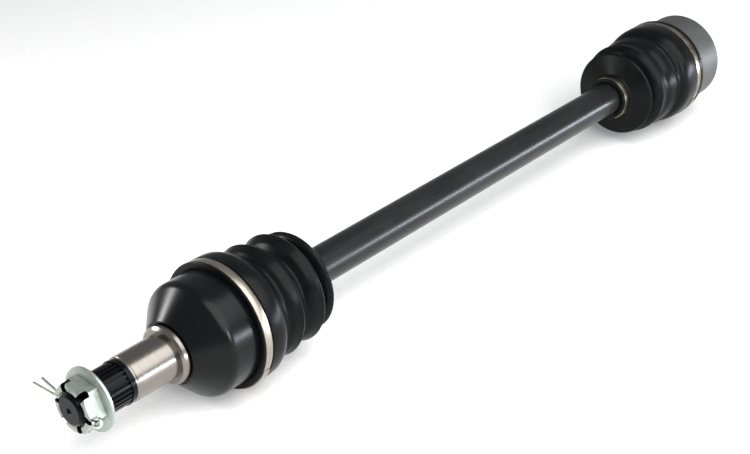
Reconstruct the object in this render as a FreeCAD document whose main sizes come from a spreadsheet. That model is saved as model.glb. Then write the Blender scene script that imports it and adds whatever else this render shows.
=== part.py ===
"""CV axle: a solid bar with a fixed ball joint at the wheel end and a plunging ball joint at the gearbox end.

Frame, in millimetres: the origin is on the axle's centreline at the wheel bearing's shoulder, +X points
outboard along the bearing journal, and +Z is up.  The bar and the gearbox end run towards -X.
"inset" always means a distance inboard of the bearing shoulder, so a place on the axle is x = -inset.
"""
import FreeCAD, Part
import math
import os
import re
import Sketcher

doc = FreeCAD.newDocument("cv_axle")

# ------------------------------------------------------------------ driving dimensions (mm, degrees)
DIMENSIONS = {
    # wheel-end stub, outboard of the bearing shoulder
    "journal_diameter": 30.0,
    "journal_length": 31.0,
    "collar_step": 0.4,             # collar's surface below the journal's
    "collar_length": 5.0,
    "hub_spline_step": 0.6,         # spline's crests below the collar
    "hub_spline_length": 19.2,
    "hub_spline_teeth": 28,
    "hub_tooth_depth": 1.4,
    "thread_diameter": 20.0,
    "thread_length": 16.8,
    "tip_chamfer": 1.2,
    "center_drill_radius": 2.2,
    "center_drill_depth": 3.0,
    # bell of the fixed joint
    "shoulder_height": 4.4,         # shoulder above the journal
    "shoulder_width": 4.0,
    "shoulder_chamfer": 1.5,
    "neck_groove_depth": 0.9,
    "neck_groove_width": 1.2,
    "bell_neck_step": 1.8,          # foot of the 45 degree cone above the shoulder
    "bell_cone_lead": 17.2,         # cone's large end to the joint's centre
    "bell_edge_radius": 8.0,
    "bell_wall": 3.9,               # outside the ball tracks
    "bell_mouth_reach": 18.0,       # joint's centre to the mouth
    "bell_mouth_wall": 2.6,
    "bell_flare_length": 9.0,
    # fixed joint's ball set
    "outer_ball_diameter": 16.0,
    "outer_track_clearance": 0.9,
    "outer_race_wall": 5.1,         # between the bar's spline and the tracks
    "outer_race_half_width": 11.5,
    "outer_cage_stand": 3.8,        # cage's outside beyond the ball centres
    "outer_cage_wall": 4.4,
    "outer_cage_rim": 4.0,
    "outer_window_play": 1.4,
    "track_span": 110.0,            # arc of each curved track
    "ball_count": 6,
    "ball_window_gap": 0.03,
    "running_gap": 0.3,             # between curved faces that slide on each other
    # bar
    "joint_spacing": 552.0,         # centre to centre
    "bar_diameter": 26.2,
    "bar_spline_step": 1.1,
    "bar_end_overhang": 4.0,        # bar past each circlip
    "circlip_section": 1.6,
    "circlip_depth": 1.0,
    "circlip_stand": 1.7,
    "circlip_span": 325.0,
    # plunging joint
    "inner_ball_diameter": 15.0,
    "inner_track_clearance": 0.6,
    "inner_race_wall": 5.4,
    "inner_race_half_width": 9.5,
    "inner_cage_stand": 3.8,
    "inner_cage_wall": 4.4,
    "inner_cage_rim": 2.5,
    "inner_window_play": 1.0,
    "plunge_travel": 12.0,          # each way from the middle
    "stop_room": 3.0,               # cage to stop ring at full travel
    "floor_room": 5.0,              # cage to cup floor at full travel
    "cup_wall": 3.9,                # outside the ball tracks
    "cup_mouth_land": 2.5,
    "cup_floor_thickness": 7.0,
    "cup_floor_recess": 3.0,
    "cup_recess_land": 4.5,         # recess edge inside the ball centres
    "cup_edge_radius": 3.4,
    "stop_ring_width": 1.5,
    "stop_ring_stand": 1.4,
    "stop_ring_groove_depth": 1.0,
    # gearbox-end stub
    "gear_spline_diameter": 28.6,
    "gear_spline_length": 25.0,
    "gear_spline_teeth": 27,
    "gear_tooth_depth": 1.4,
    "seal_journal_step": 2.7,
    "seal_journal_length": 6.0,
    "gear_ring_setback": 4.0,       # stub's tip to the snap ring
    "gear_ring_width": 1.8,
    "gear_ring_stand": 0.5,
    # hub nut and its cotter pin
    "nut_seat_gap": 0.4,            # spline's end face to the nut's flange
    "nut_setback": 2.0,             # thread's tip past the nut
    "nut_wall": 5.0,                # thread to flats
    "nut_flange_overhang": 3.58,    # flange past the corners
    "nut_flange_thickness": 1.6,
    "nut_flange_dish": 1.6,
    "nut_corner_chamfer": 1.2,
    "nut_slot_depth": 5.0,
    "nut_phase": -7.0,              # turn of the slots and of the cotter hole about the axle
    "pin_diameter": 3.6,
    "pin_hole_play": 0.3,
    "pin_slot_play": 0.4,
    "pin_overhang": 1.0,            # shank past the nut's flats
    "pin_eye_radius": 2.6,
    "pin_wire_radius": 0.95,
    "pin_leg_length": 20.0,
    "pin_leg_splay": 5.0,
    "pin_roll": 45.0,               # turn of the eye and legs about the pin's own line
    # boots and their band clamps
    "boot_wall": 3.2,               # measured square to the axle
    "boot_lip_height": 1.1,
    "band_thickness": 0.9,
    "band_lap_thickness": 0.8,
    "band_lap_span": 38.0,
    "band_phase": -62.0,
    "outer_cuff_wall": 4.8,
    "outer_cuff_grip": 14.4,        # cuff on the bell
    "outer_cuff_overrun": 2.5,      # cuff past the bell's mouth
    "outer_lip_width": 1.5,
    "outer_band_width": 5.6,
    "outer_shoulder_run": 5.5,
    "outer_shoulder_drop": 2.4,
    "outer_boot_length": 63.0,      # bell's mouth to the small cuff
    "outer_small_cuff_length": 11.0,
    "inner_cuff_wall": 4.6,
    "inner_cuff_grip": 27.0,        # cuff on the cup
    "inner_lip_width": 4.8,
    "inner_band_width": 5.5,
    "inner_shoulder_setback": 2.5,  # shoulder ridge inside the cup's mouth
    "inner_shoulder_drop": 0.5,
    "inner_boot_length": 52.5,      # cup's mouth to the small cuff
    "inner_small_cuff_length": 10.5,
    "small_cuff_wall": 4.3,
    "small_band_width": 5.4,
    "small_band_margin": 2.2,
}

# Folds of each boot from its large end to its small end, alternately valley and crest: (distance from the
# housing's mouth, depth below the large cuff).
OUTER_FOLDS = ((16.5, 10.1), (25.5, 4.8), (36.0, 13.6), (46.0, 6.0), (53.0, 15.1), (58.5, 9.4))
INNER_FOLDS = ((5.0, 5.9), (12.0, 3.4), (24.5, 10.6), (34.0, 4.5), (41.5, 13.6), (48.0, 7.3))

# ------------------------------------------------------------------ sizes that follow from the driving ones
RULES = {
    "collar_diameter": "journal_diameter - 2 * collar_step",
    "hub_spline_diameter": "collar_diameter - 2 * hub_spline_step",
    "hub_spline_root_diameter": "hub_spline_diameter - 2 * hub_tooth_depth",
    "hub_spline_foot": "journal_length + collar_length",
    "hub_spline_end": "hub_spline_foot + hub_spline_length",
    "stub_reach": "hub_spline_end + thread_length",
    "shoulder_diameter": "journal_diameter + 2 * shoulder_height",
    "neck_groove_diameter": "shoulder_diameter - 2 * neck_groove_depth",
    "bell_neck_diameter": "shoulder_diameter + 2 * bell_neck_step",
    "bar_spline_diameter": "bar_diameter - 2 * bar_spline_step",
}
for joint in ("outer", "inner"):
    RULES.update({
        f"{joint}_track_radius": f"{joint}_ball_diameter / 2 + {joint}_track_clearance",
        f"{joint}_pitch_radius": f"bar_spline_diameter / 2 + {joint}_race_wall + {joint}_track_radius",
        f"{joint}_cage_radius": f"{joint}_pitch_radius + {joint}_cage_stand",
        f"{joint}_cage_half_width": f"{joint}_ball_diameter / 2 + {joint}_cage_rim",
        f"{joint}_window_half_length": f"{joint}_ball_diameter / 2 + {joint}_window_play",
        f"{joint}_bore_radius": f"{joint}_cage_radius + running_gap",
    })
RULES.update({
    "bell_diameter": "2 * ( outer_pitch_radius + outer_track_radius + bell_wall )",
    "bell_cone_inset": "shoulder_width + neck_groove_width + ( bell_diameter - bell_neck_diameter ) / 2",
    "outer_center_inset": "bell_cone_inset + bell_cone_lead",
    "bell_inset": "outer_center_inset + bell_mouth_reach",
    "bell_mouth_radius": "bell_diameter / 2 - bell_mouth_wall",
    "inner_center_inset": "outer_center_inset + joint_spacing",
    "cup_diameter": "2 * ( inner_pitch_radius + inner_track_radius + cup_wall )",
    "cage_reach": "inner_cage_half_width + plunge_travel",
    "stop_ring_inset": "inner_center_inset - cage_reach - stop_room - stop_ring_width",
    "stop_ring_inner_radius": "inner_bore_radius - stop_ring_stand",
    "cup_mouth_inset": "stop_ring_inset - cup_mouth_land",
    "cup_floor_inset": "inner_center_inset + cage_reach + floor_room",
    "cup_floor_recess_radius": "inner_pitch_radius - cup_recess_land",
    "cup_end_inset": "cup_floor_inset + cup_floor_thickness",
    "gear_spline_root_diameter": "gear_spline_diameter - 2 * gear_tooth_depth",
    "gear_spline_inset": "cup_end_inset + seal_journal_length",
    "gear_tip_inset": "gear_spline_inset + gear_spline_length",
    "seal_journal_diameter": "gear_spline_diameter + 2 * seal_journal_step",
    "nut_seat": "hub_spline_end + nut_seat_gap",
    "nut_front": "stub_reach - nut_setback",
    "nut_across_flats": "thread_diameter + 2 * nut_wall",
    "nut_corner_radius": "nut_across_flats / 2 / cos(30)",
    "nut_flange_diameter": "2 * ( nut_corner_radius + nut_flange_overhang )",
    "nut_slot_width": "pin_diameter + 2 * pin_slot_play",
    "pin_hole_diameter": "pin_diameter + 2 * pin_hole_play",
    "pin_place": "nut_front - nut_slot_depth + pin_diameter / 2",
    "pin_half_shank": "nut_across_flats / 2 + pin_overhang",
    "small_cuff_radius": "bar_diameter / 2 + small_cuff_wall",
    "outer_boot_radius": "bell_diameter / 2 + outer_cuff_wall",
    "outer_boot_edge": "bell_inset - outer_cuff_grip",
    "outer_band_inset": "outer_boot_edge + outer_lip_width",
    "outer_boot_cuff_end": "bell_inset + outer_cuff_overrun",
    "outer_boot_shoulder_inset": "outer_boot_cuff_end + outer_shoulder_run",
    "outer_boot_shoulder_radius": "outer_boot_radius - outer_shoulder_drop",
    "outer_small_cuff_inset": "bell_inset + outer_boot_length",
    "outer_small_cuff_end": "outer_small_cuff_inset + outer_small_cuff_length",
    "inner_boot_radius": "cup_diameter / 2 + inner_cuff_wall",
    "inner_boot_edge": "cup_mouth_inset + inner_cuff_grip",
    "inner_band_inset": "inner_boot_edge - inner_lip_width - inner_band_width",
    "inner_boot_shoulder_inset": "cup_mouth_inset + inner_shoulder_setback",
    "inner_boot_shoulder_radius": "inner_boot_radius - inner_shoulder_drop",
    "inner_small_cuff_inset": "cup_mouth_inset - inner_boot_length",
    "inner_small_cuff_end": "inner_small_cuff_inset - inner_small_cuff_length",
})
for fold, (run, depth) in enumerate(OUTER_FOLDS, 1):
    RULES[f"outer_fold_inset_{fold}"] = f"bell_inset + {run}"
    RULES[f"outer_fold_radius_{fold}"] = f"outer_boot_radius - {depth}"
for fold, (run, depth) in enumerate(INNER_FOLDS, 1):
    RULES[f"inner_fold_inset_{fold}"] = f"cup_mouth_inset - {run}"
    RULES[f"inner_fold_radius_{fold}"] = f"inner_boot_radius - {depth}"

sheet = doc.addObject("Spreadsheet::Sheet", "Dims")


def store_sizes():
    """Put each driving size and each rule in the sheet under its own alias."""
    rows = {alias: str(value) for alias, value in DIMENSIONS.items()}
    rows.update({alias: "=" + rule for alias, rule in RULES.items()})
    for row, (alias, content) in enumerate(rows.items(), 1):
        sheet.set(f"A{row}", alias)
        sheet.set(f"B{row}", content)
        sheet.setAlias(f"B{row}", alias)
    doc.recompute()
    return set(rows)


ALIASES = store_sizes()


def bound(text):
    """Turn plain dimension names in an expression into references to the sheet."""
    return re.sub(r"[a-z_]\w*", lambda word: ("Dims." if word[0] in ALIASES else "") + word[0], text)


def number(text):
    """The present value of an expression."""
    return float(sheet.evalExpression(bound(text)))


# ------------------------------------------------------------------ modelling helpers
def origin_plane(body, role):
    """One of a body's own origin planes or axes, found by its role."""
    return next(item for item in body.Origin.OriginFeatures if item.Role == role)


def new_body(label):
    body = doc.addObject("PartDesign::Body", label)
    body.Label = label
    return body


def sketch_on(body, role, name):
    sketch = body.newObject("Sketcher::SketchObject", name)
    sketch.AttachmentSupport = [(origin_plane(body, role), "")]
    sketch.MapMode = "FlatFace"
    return sketch


def bind_point(sketch, line, end, along, across):
    """Hold one end of a sketch line at (along, across), each an expression."""
    if along is not None:
        index = sketch.addConstraint(Sketcher.Constraint("DistanceX", -1, 1, line, end, number(along)))
        sketch.setExpression(f"Constraints[{index}]", bound(along))
    if across == "0":
        sketch.addConstraint(Sketcher.Constraint("PointOnObject", line, end, -1))
    elif across is not None:
        index = sketch.addConstraint(Sketcher.Constraint("DistanceY", -1, 1, line, end, number(across)))
        sketch.setExpression(f"Constraints[{index}]", bound(across))


def draw_outline(sketch, outline):
    """Draw a closed outline of (along, across) corners.

    A third entry on a corner, (centre, radius), makes the stretch to the next corner an arc about a centre on
    the sketch's X axis; the corners at its ends give only their place along, and the arc sets the rest.
    """
    arcs = [corner[2] if len(corner) > 2 else None for corner in outline]
    points = []
    for index, corner in enumerate(outline):
        across = corner[1]
        if across is None:
            center, radius = arcs[index] or arcs[index - 1]
            across_value = math.sqrt(number(radius) ** 2 - (number(corner[0]) - number(center)) ** 2)
        else:
            across_value = number(across)
        points.append(FreeCAD.Vector(number(corner[0]), across_value, 0))
    ends = []
    for index, start in enumerate(points):
        finish = points[(index + 1) % len(points)]
        if arcs[index] is None:
            ends.append((sketch.addGeometry(Part.LineSegment(start, finish)), 1, 2))
            continue
        center, radius = arcs[index]
        middle = FreeCAD.Vector(number(center), 0, 0)
        angles = [math.atan2(point.y - middle.y, point.x - middle.x) for point in (start, finish)]
        forward = angles[1] > angles[0]
        circle = Part.Circle(middle, FreeCAD.Vector(0, 0, 1), number(radius))
        arc = sketch.addGeometry(Part.ArcOfCircle(circle, min(angles), max(angles)))
        ends.append((arc, 1, 2) if forward else (arc, 2, 1))
        bind_point(sketch, arc, 3, center, "0")
        row = sketch.addConstraint(Sketcher.Constraint("Radius", arc, number(radius)))
        sketch.setExpression(f"Constraints[{row}]", bound(radius))
    for index, (line, _, last) in enumerate(ends):
        following, first, _ = ends[(index + 1) % len(ends)]
        sketch.addConstraint(Sketcher.Constraint("Coincident", line, last, following, first))
    for index, ((line, first, _), corner) in enumerate(zip(ends, outline)):
        set_by_arc = corner[1] == "0" and arcs[index - 1] is not None
        bind_point(sketch, line, first, None if set_by_arc else corner[0], corner[1])


def turn(body, name, outline, angle="360", start=None):
    """Add a solid turned about the X axis from an outline of (x, radius) expressions."""
    sketch = sketch_on(body, "XY_Plane", name + "_sketch")
    if start is not None:
        sketch.AttachmentOffset = FreeCAD.Placement(
            FreeCAD.Vector(), FreeCAD.Rotation(FreeCAD.Vector(1, 0, 0), number(start)))
    draw_outline(sketch, outline)
    solid = body.newObject("PartDesign::Revolution", name)
    solid.Profile = sketch
    solid.ReferenceAxis = (sketch, ["H_Axis"])
    solid.setExpression("Angle", bound(angle))
    doc.recompute()
    return solid


def spread(body, feature, count, angle="360"):
    """Repeat a feature evenly about the X axis."""
    pattern = body.newObject("PartDesign::PolarPattern", feature.Name + "_pattern")
    pattern.Originals = [feature]
    pattern.Axis = (origin_plane(body, "X_Axis"), [""])
    pattern.setExpression("Angle", bound(angle))
    pattern.setExpression("Occurrences", bound(count))
    body.Tip = pattern
    doc.recompute()
    return pattern


def cut_ball_tracks(body, center, pitch_radius, track_radius):
    """Cut curved ball tracks: each is a round section swept about the joint's centre."""
    sketch = sketch_on(body, "YZ_Plane", "track_sketch")
    sketch.setExpression("AttachmentOffset.Base.z", bound(center))
    circle = sketch.addGeometry(Part.Circle(
        FreeCAD.Vector(number(pitch_radius), 0, 0), FreeCAD.Vector(0, 0, 1), number(track_radius)))
    bind_point(sketch, circle, 3, pitch_radius, "0")
    row = sketch.addConstraint(Sketcher.Constraint("Radius", circle, number(track_radius)))
    sketch.setExpression(f"Constraints[{row}]", bound(track_radius))
    before = body.Shape.Volume
    track = body.newObject("PartDesign::Groove", "track")
    track.Profile = sketch
    track.ReferenceAxis = (sketch, ["V_Axis"])
    track.Midplane = True
    track.setExpression("Angle", "Dims.track_span")
    doc.recompute()
    spread(body, track, "ball_count")
    require_cut(body, before)


def require_cut(body, before):
    if not body.Shape.Volume < before - 1:
        raise RuntimeError(body.Label + ": a cut removed nothing")


def cut_along(body, name, face, depth, shape, count):
    """Cut a pocket from the plane x = face towards -X, repeated about the axle.

    shape is ("round", place, radius) or ("bar", nearest, farthest, width), measured out from the axle.
    """
    sketch = sketch_on(body, "YZ_Plane", name + "_sketch")
    sketch.setExpression("AttachmentOffset.Base.z", bound(face))
    if shape[0] == "round":
        circle = sketch.addGeometry(Part.Circle(
            FreeCAD.Vector(number(shape[1]), 0, 0), FreeCAD.Vector(0, 0, 1), number(shape[2])))
        bind_point(sketch, circle, 3, shape[1], "0")
        row = sketch.addConstraint(Sketcher.Constraint("Radius", circle, number(shape[2])))
        sketch.setExpression(f"Constraints[{row}]", bound(shape[2]))
    else:
        _, nearest, farthest, width = shape
        half = f"( {width} ) / 2"
        draw_outline(sketch, [(nearest, f"-1 * {half}"), (farthest, f"-1 * {half}"), (farthest, half),
                              (nearest, half)])
    before = body.Shape.Volume
    pocket = body.newObject("PartDesign::Pocket", name)
    pocket.Profile = sketch
    pocket.setExpression("Length", bound(depth))
    doc.recompute()
    spread(body, pocket, count)
    require_cut(body, before)


def round_edges(body, name, rings, radius):
    """Round the circular edges that lie at the given (x, radius) places."""
    places = [(number(x), number(r)) for x, r in rings]
    base = body.Tip
    names = []
    for index, edge in enumerate(base.Shape.Edges, 1):
        box = edge.BoundBox
        if any(max(abs(box.XMin - x), abs(box.XMax - x), abs(box.ZMax - r)) < 0.01 for x, r in places):
            names.append(f"Edge{index}")
    fillet = body.newObject("PartDesign::Fillet", name)
    fillet.Base = (base, names)
    fillet.setExpression("Radius", bound(radius))
    doc.recompute()


# ------------------------------------------------------------------ places that several pieces share
OUTER_CENTER = "( -1 * outer_center_inset )"
INNER_CENTER = "( -1 * inner_center_inset )"
CUP_END = "( -1 * cup_end_inset )"
GEAR_TIP = "( -1 * gear_tip_inset )"
GEAR_SPLINE_START = "( -1 * gear_spline_inset )"


# ------------------------------------------------------------------ wheel-end joint
def outer_housing():
    """Bell, bearing journal, hub spline and threaded tip, forged in one piece."""
    body = new_body("outer_housing")
    flare = f"( {OUTER_CENTER} - bell_flare_length )"
    groove_end = "( -1 * shoulder_width - neck_groove_width )"
    turn(body, "outer_housing_blank", [
        ("stub_reach - center_drill_depth", "0"),
        ("stub_reach", "center_drill_radius"),
        ("stub_reach", "thread_diameter / 2 - tip_chamfer"),
        ("stub_reach - tip_chamfer", "thread_diameter / 2"),
        ("hub_spline_end", "thread_diameter / 2"),
        ("hub_spline_end", "hub_spline_diameter / 2 - tip_chamfer"),
        ("hub_spline_end - tip_chamfer", "hub_spline_diameter / 2"),
        ("hub_spline_foot", "hub_spline_diameter / 2"),
        ("hub_spline_foot", "collar_diameter / 2"),
        ("journal_length + tip_chamfer / 2", "collar_diameter / 2"),
        ("journal_length", "journal_diameter / 2"),
        ("0", "journal_diameter / 2"),
        ("0", "shoulder_diameter / 2 - shoulder_chamfer"),
        ("-1 * shoulder_chamfer", "shoulder_diameter / 2"),
        ("-1 * shoulder_width", "shoulder_diameter / 2"),
        ("-1 * shoulder_width", "neck_groove_diameter / 2"),
        (groove_end, "neck_groove_diameter / 2"),
        (groove_end, "bell_neck_diameter / 2"),
        ("-1 * bell_cone_inset", "bell_diameter / 2"),
        ("-1 * bell_inset", "bell_diameter / 2"),
        ("-1 * bell_inset", "bell_mouth_radius"),
        (flare, None, (OUTER_CENTER, "outer_bore_radius")),
        (f"{OUTER_CENTER} + outer_bore_radius", "0"),
    ])
    round_edges(body, "bell_edge", [("-1 * bell_cone_inset", "bell_diameter / 2")], "bell_edge_radius")
    cut_ball_tracks(body, OUTER_CENTER, "outer_pitch_radius", "outer_track_radius")
    cut_along(body, "hub_spline_gap", "hub_spline_end", "hub_spline_length",
              ("bar", "hub_spline_root_diameter / 2", "hub_spline_diameter / 2 + 1",
               "hub_spline_root_diameter * pi / hub_spline_teeth / 2"), "hub_spline_teeth")
    cut_cotter_hole(body)
    return body


def cut_cotter_hole(body):
    """Cross hole for the cotter pin, through the threaded tip."""
    sketch = sketch_on(body, "XZ_Plane", "cotter_hole_sketch")
    sketch.AttachmentOffset = FreeCAD.Placement(
        FreeCAD.Vector(), FreeCAD.Rotation(FreeCAD.Vector(1, 0, 0), number("nut_phase")))
    circle = sketch.addGeometry(Part.Circle(
        FreeCAD.Vector(number("pin_place"), 0, 0), FreeCAD.Vector(0, 0, 1), number("pin_hole_diameter / 2")))
    bind_point(sketch, circle, 3, "pin_place", "0")
    row = sketch.addConstraint(Sketcher.Constraint("Radius", circle, number("pin_hole_diameter / 2")))
    sketch.setExpression(f"Constraints[{row}]", bound("pin_hole_diameter / 2"))
    before = body.Shape.Volume
    hole = body.newObject("PartDesign::Pocket", "cotter_hole")
    hole.Profile = sketch
    hole.Midplane = True
    hole.setExpression("Length", bound("thread_diameter * 2"))
    doc.recompute()
    require_cut(body, before)


def inner_race(label, joint, center):
    """Star that is splined on the bar: a ball-shaped ring with six tracks."""
    body = new_body(label)
    half = f"{joint}_race_half_width"
    sphere = f"( {joint}_cage_radius - {joint}_cage_wall - running_gap )"
    turn(body, label + "_blank", [
        (f"{center} + {half}", "bar_spline_diameter / 2"),
        (f"{center} + {half}", None, (center, sphere)),
        (f"{center} - {half}", None),
        (f"{center} - {half}", "bar_spline_diameter / 2"),
    ])
    cut_ball_tracks(body, center, f"{joint}_pitch_radius", f"{joint}_track_radius")
    return body


def ball_cage(label, joint, center):
    """Cage between the races: a spherical ring with a window for each ball."""
    body = new_body(label)
    half = f"{joint}_cage_half_width"
    inside = f"( {joint}_cage_radius - {joint}_cage_wall )"
    turn(body, label + "_blank", [
        (f"{center} + {half}", None, (center, f"{joint}_cage_radius")),
        (f"{center} - {half}", None),
        (f"{center} - {half}", None, (center, inside)),
        (f"{center} + {half}", None),
    ])
    sketch = sketch_on(body, "XZ_Plane", label + "_window_sketch")
    depth = f"( {joint}_ball_diameter / 2 + ball_window_gap )"
    length = f"{joint}_window_half_length"
    draw_outline(sketch, [
        (f"{center} - {depth}", f"-1 * {length}"), (f"{center} + {depth}", f"-1 * {length}"),
        (f"{center} + {depth}", length), (f"{center} - {depth}", length)])
    before = body.Shape.Volume
    window = body.newObject("PartDesign::Pocket", label + "_window")
    window.Profile = sketch
    window.Midplane = True
    window.setExpression("Length", bound(f"{joint}_cage_radius * 4"))
    doc.recompute()
    spread(body, window, "ball_count / 2", "360 / ball_count * ( ball_count / 2 - 1 )")
    require_cut(body, before)
    return body


def balls(joint, center):
    """The ball set; the first and fourth balls lie on the joint's hinge axis, along Y."""
    made = []
    for index in range(int(number("ball_count"))):
        label = f"{joint}_ball_{index + 1}"
        ball = doc.addObject("Part::Sphere", label)
        ball.Label = label
        ball.setExpression("Radius", bound(f"{joint}_ball_diameter / 2"))
        ball.setExpression("Placement.Base.x", bound(center))
        turned = f"360 / ball_count * {index}"
        ball.setExpression("Placement.Base.y", bound(f"{joint}_pitch_radius * cos({turned})"))
        ball.setExpression("Placement.Base.z", bound(f"{joint}_pitch_radius * sin({turned})"))
        made.append(ball)
    doc.recompute()
    return made


def race_circlip(label, joint, center, side):
    """Open spring ring that holds an inner race on the bar's end; side is 1 outboard, -1 inboard."""
    body = new_body(label)
    near = f"{center} + {side} * ( {joint}_race_half_width )"
    far = f"{center} + {side} * ( {joint}_race_half_width + circlip_section )"
    floor = "bar_spline_diameter / 2 - circlip_depth"
    turn(body, label + "_ring", [
        (near, floor), (far, floor), (far, "bar_spline_diameter / 2 + circlip_stand"),
        (near, "bar_spline_diameter / 2 + circlip_stand")], "circlip_span")
    return body


# ------------------------------------------------------------------ bar
def center_shaft():
    """Solid bar with a reduced, splined land and a circlip groove at each end."""
    body = new_body("center_shaft")
    land = "bar_spline_diameter / 2"
    floor = "bar_spline_diameter / 2 - circlip_depth"

    def end(joint, center, side):
        race_side = f"{center} + {side} * ( {joint}_race_half_width )"
        groove_side = f"{center} + {side} * ( {joint}_race_half_width + circlip_section )"
        tip = f"{center} + {side} * ( {joint}_race_half_width + circlip_section + bar_end_overhang )"
        stop = f"{center} - {side} * ( {joint}_race_half_width )"
        chamfer = f"{tip} - {side} * tip_chamfer"
        return [(stop, "bar_diameter / 2"), (stop, land), (race_side, land), (race_side, floor),
                (groove_side, floor), (groove_side, land), (chamfer, land), (tip, f"{land} - tip_chamfer"),
                (tip, "0")]

    outer_end = end("outer", OUTER_CENTER, "1")
    inner_end = end("inner", INNER_CENTER, "-1")
    turn(body, "center_shaft_bar", list(reversed(outer_end)) + inner_end)
    return body


# ------------------------------------------------------------------ gearbox-end joint
def inner_housing():
    """Cup with straight ball tracks, and the splined stub that enters the gearbox."""
    body = new_body("inner_housing")
    mouth = "( -1 * cup_mouth_inset )"
    floor = "( -1 * cup_floor_inset )"
    ring_near = "( -1 * stop_ring_inset )"
    ring_far = "( -1 * stop_ring_inset - stop_ring_width )"
    deep = "inner_bore_radius + stop_ring_groove_depth"
    turn(body, "inner_housing_blank", [
        (mouth, "inner_bore_radius"), (mouth, "cup_diameter / 2"), (CUP_END, "cup_diameter / 2"),
        (CUP_END, "seal_journal_diameter / 2"),
        (GEAR_SPLINE_START, "seal_journal_diameter / 2"),
        (GEAR_SPLINE_START, "gear_spline_diameter / 2"),
        (f"{GEAR_TIP} + gear_ring_setback + gear_ring_width", "gear_spline_diameter / 2"),
        (f"{GEAR_TIP} + gear_ring_setback + gear_ring_width", "gear_spline_root_diameter / 2"),
        (f"{GEAR_TIP} + gear_ring_setback", "gear_spline_root_diameter / 2"),
        (f"{GEAR_TIP} + gear_ring_setback", "gear_spline_diameter / 2"),
        (f"{GEAR_TIP} + tip_chamfer", "gear_spline_diameter / 2"),
        (GEAR_TIP, "gear_spline_diameter / 2 - tip_chamfer"),
        (GEAR_TIP, "center_drill_radius"),
        (f"{GEAR_TIP} + center_drill_depth", "0"),
        (f"{floor} - cup_floor_recess", "0"),
        (f"{floor} - cup_floor_recess", "cup_floor_recess_radius"),
        (floor, "cup_floor_recess_radius"), (floor, "inner_bore_radius"),
        (ring_far, "inner_bore_radius"), (ring_far, deep), (ring_near, deep),
        (ring_near, "inner_bore_radius"),
    ])
    round_edges(body, "cup_edge", [(CUP_END, "cup_diameter / 2")], "cup_edge_radius")
    cut_along(body, "straight_track", mouth, "cup_floor_inset - cup_mouth_inset",
              ("round", "inner_pitch_radius", "inner_track_radius"), "ball_count")
    cut_along(body, "gear_spline_gap", GEAR_SPLINE_START, "gear_spline_length",
              ("bar", "gear_spline_root_diameter / 2", "gear_spline_diameter / 2 + 1",
               "gear_spline_root_diameter * pi / gear_spline_teeth / 2"), "gear_spline_teeth")
    return body


def stop_ring():
    """Open wire ring in the cup's mouth that keeps the cage in."""
    body = new_body("inner_stop_ring")
    near = "( -1 * stop_ring_inset )"
    far = "( -1 * stop_ring_inset - stop_ring_width )"
    outside = "inner_bore_radius + stop_ring_groove_depth"
    turn(body, "stop_ring_wire", [(far, "stop_ring_inner_radius"), (near, "stop_ring_inner_radius"),
                                  (near, outside), (far, outside)], "circlip_span")
    return body


def gear_snap_ring():
    """Open ring near the stub's tip that holds it in the gearbox's side gear."""
    body = new_body("gear_snap_ring")
    near = f"{GEAR_TIP} + gear_ring_setback"
    far = f"{GEAR_TIP} + gear_ring_setback + gear_ring_width"
    turn(body, "gear_snap_ring_wire", [
        (near, "gear_spline_root_diameter / 2"), (far, "gear_spline_root_diameter / 2"),
        (far, "gear_spline_diameter / 2 + gear_ring_stand"),
        (near, "gear_spline_diameter / 2 + gear_ring_stand")], "circlip_span")
    return body


# ------------------------------------------------------------------ boots and clamps
def boot(label, joint, large_end, small_end):
    """Rubber boot: a large cuff on the housing, folds, and a small cuff on the bar.

    large_end and small_end hold the (x, radius) corners of each cuff's outside and inside.
    """
    body = new_body(label)
    folds = [(f"-1 * {joint}_fold_inset_{k}", f"{joint}_fold_radius_{k}")
             for k in range(1, len(OUTER_FOLDS) + 1)]
    under = [(x, f"{radius} - boot_wall") for x, radius in reversed(folds)]
    outside = large_end["outside"] + folds + small_end["outside"]
    inside = small_end["inside"] + under + large_end["inside"]
    turn(body, label + "_skin", outside + inside)
    return body


def cuff_outside(edge, band_near, band_far, radius, after):
    """Corners of a cuff's outside: a lip at the open edge, the band's seat, and the rest."""
    seat = f"{radius} - boot_lip_height"
    return [(edge, radius), (band_near, radius), (band_near, seat), (band_far, seat),
            (band_far, radius)] + after


def outer_boot():
    small_near = "( -1 * outer_small_cuff_end + small_band_margin )"
    small_far = "( -1 * outer_small_cuff_end + small_band_margin + small_band_width )"
    large = {
        "outside": cuff_outside("-1 * outer_boot_edge", "-1 * outer_band_inset",
                                "-1 * outer_band_inset - outer_band_width", "outer_boot_radius",
                                [("-1 * outer_boot_cuff_end", "outer_boot_radius"),
                                 ("-1 * outer_boot_shoulder_inset", "outer_boot_shoulder_radius")]),
        "inside": [("-1 * bell_inset - running_gap", "outer_boot_shoulder_radius - boot_wall"),
                   ("-1 * bell_inset - running_gap", "bell_diameter / 2"),
                   ("-1 * outer_boot_edge", "bell_diameter / 2")],
    }
    seat = "small_cuff_radius - boot_lip_height"
    small = {
        "outside": [("-1 * outer_small_cuff_inset", "small_cuff_radius"), (small_far, "small_cuff_radius"),
                    (small_far, seat), (small_near, seat), (small_near, "small_cuff_radius"),
                    ("-1 * outer_small_cuff_end", "small_cuff_radius")],
        "inside": [("-1 * outer_small_cuff_end", "bar_diameter / 2 + running_gap"),
                   ("-1 * outer_small_cuff_inset", "bar_diameter / 2 + running_gap")],
    }
    return boot("outer_boot", "outer", large, small)


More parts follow.
